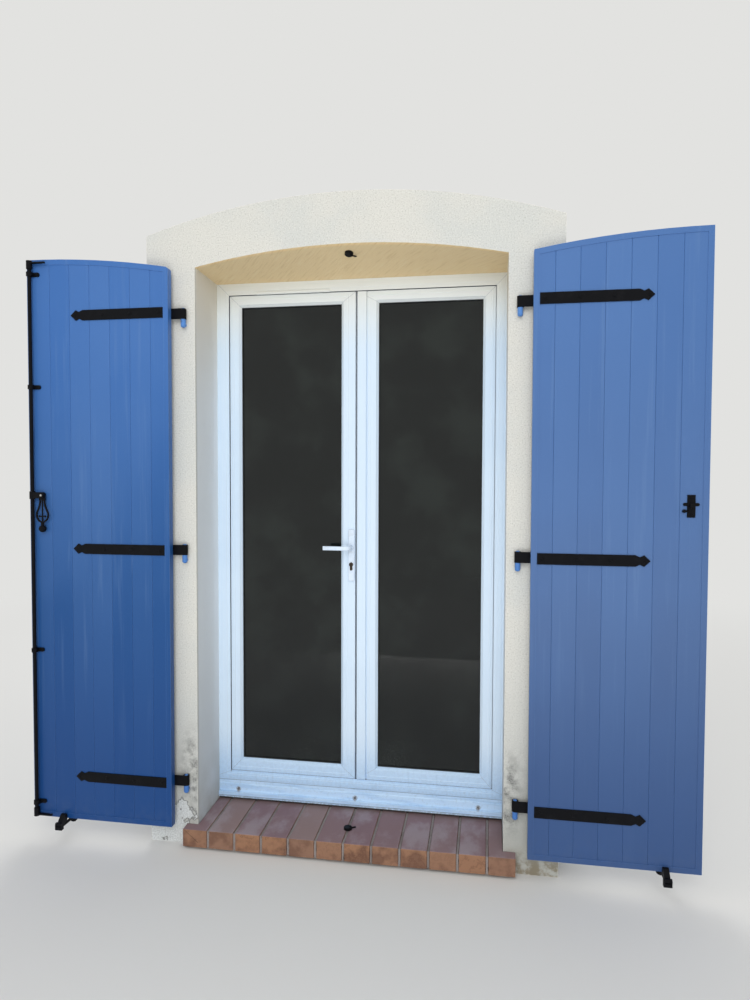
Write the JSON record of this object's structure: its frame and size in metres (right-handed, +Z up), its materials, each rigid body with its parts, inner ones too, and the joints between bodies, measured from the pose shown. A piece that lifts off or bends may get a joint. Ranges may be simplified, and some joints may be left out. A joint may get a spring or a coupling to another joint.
{
  "type": "arched window with shutters",
  "caption": "Arched French window in a rendered surround with a brick sill, two leaves that open inwards and a pair of boarded shutters folded back on strap hinges.",
  "frame": {"origin": "underside of the mortar bed, in the middle of the opening, level with the front face of the surround", "axes": "+X right along the wall, +Y into the wall, +Z up"},
  "size_m": [2.561, 0.4635, 2.5388],
  "materials": {
    "render": "rough sanded render, pale cream",
    "brick": "unglazed fired clay",
    "mortar": "grey mortar",
    "white_pvc": "white, slightly glossy",
    "white_enamel": "white enamel",
    "seal": "black seal",
    "glass": "clear float glass",
    "spacer": "mill finish",
    "zinc_steel": "zinc plated",
    "lock_metal": "nickel plated",
    "blue_aluminium": "mid blue powder coat",
    "blue_steel": "mid blue paint",
    "black_steel": "satin black powder coat",
    "bright_steel": "bright rivet"
  },
  "bodies": {
    "wall_frame": {"surround": "render", "sill_bricks": "brick", "sill_mortar": "mortar", "door_frame": "white_pvc", "threshold": "white_pvc", "threshold_screws": "zinc_steel", "trickle_vent": "white_pvc", "frame_gasket": "seal", "frame_hinge_halves": "white_enamel", "frame_anchors": "zinc_steel", "shutter_pintles": "blue_steel", "closing_stops": "black_steel", "holdback_bases": "black_steel", "holdback_pins": "black_steel"},
    "left_leaf": {"left_sash": "white_pvc", "left_panes": "glass", "left_spacer": "spacer", "left_glazing_beads": "white_pvc", "left_glazing_gasket": "seal", "left_leaf_hinges": "white_enamel", "lock_faceplate": "zinc_steel", "lock_cylinder": "lock_metal", "handle_plates": "white_enamel"},
    "door_handle": {"lever_outside": "white_enamel", "lever_inside": "white_enamel", "handle_spindle": "zinc_steel"},
    "right_leaf": {"right_sash": "white_pvc", "right_panes": "glass", "right_spacer": "spacer", "right_glazing_beads": "white_pvc", "right_glazing_gasket": "seal", "right_leaf_hinges": "white_enamel", "astragal": "white_pvc", "meeting_gasket": "seal"},
    "left_shutter": {"left_boards": "blue_aluminium", "left_edge_profile": "blue_aluminium", "left_strap_hinges": "black_steel", "left_counter_plates": "black_steel", "left_strap_bolts": "black_steel", "left_strap_nuts": "black_steel", "espagnolette_guides": "black_steel", "guide_screws": "black_steel"},
    "lock_rod": {"espagnolette_rod": "black_steel", "espagnolette_hooks": "black_steel", "espagnolette_lug": "black_steel", "handle_rivet": "bright_steel"},
    "lyre_handle": {"espagnolette_handle": "black_steel"},
    "right_shutter": {"right_boards": "blue_aluminium", "right_edge_profile": "blue_aluminium", "right_strap_hinges": "black_steel", "right_counter_plates": "black_steel", "right_strap_bolts": "black_steel", "right_strap_nuts": "black_steel", "handle_keeper": "black_steel", "keeper_screws": "black_steel"},
    "left_holdback": {"left_holdback_nose": "black_steel"},
    "right_holdback": {"right_holdback_nose": "black_steel"}
  },
  "joints": [
    {"name": "left_leaf_hinge", "type": "hinge", "parent": "wall_frame", "child": "left_leaf", "pos_m": [-0.587, 0.3, 1.2], "axis": [0, 0, 1], "range_deg": [0, 100]},
    {"name": "right_leaf_hinge", "type": "hinge", "parent": "wall_frame", "child": "right_leaf", "pos_m": [0.599, 0.3, 1.2], "axis": [0, 0, -1], "range_deg": [0, 100]},
    {"name": "door_handle_turn", "type": "hinge", "parent": "left_leaf", "child": "door_handle", "pos_m": [-0.022, 0.265, 1.179], "axis": [0, 1, 0], "range_deg": [-45, 45], "stiffness_Nm_per_rad": 3},
    {"name": "left_shutter_hinge", "type": "hinge", "parent": "wall_frame", "child": "left_shutter", "pos_m": [-0.6415, -0.015, 1.2], "axis": [0, 0, 1], "range_deg": [0, 180]},
    {"name": "right_shutter_hinge", "type": "hinge", "parent": "wall_frame", "child": "right_shutter", "pos_m": [0.6415, -0.015, 1.2], "axis": [0, 0, -1], "range_deg": [0, 180]},
    {"name": "lock_rod_turn", "type": "hinge", "parent": "left_shutter", "child": "lock_rod", "pos_m": [-1.261, -0.068, 1.2], "axis": [0, 0, -1], "range_deg": [0, 180]},
    {"name": "lyre_handle_lift", "type": "hinge", "parent": "lock_rod", "child": "lyre_handle", "pos_m": [-1.218, -0.068, 1.394], "axis": [0, -1, 0], "range_deg": [0, 90]},
    {"name": "left_holdback_fold", "type": "hinge", "parent": "wall_frame", "child": "left_holdback", "pos_m": [-1.144, -0.096, 0.08], "axis": [1, 0, 0], "range_deg": [0, 135]},
    {"name": "right_holdback_fold", "type": "hinge", "parent": "wall_frame", "child": "right_holdback", "pos_m": [1.158, -0.096, 0.08], "axis": [1, 0, 0], "range_deg": [0, 135]}
  ]
}
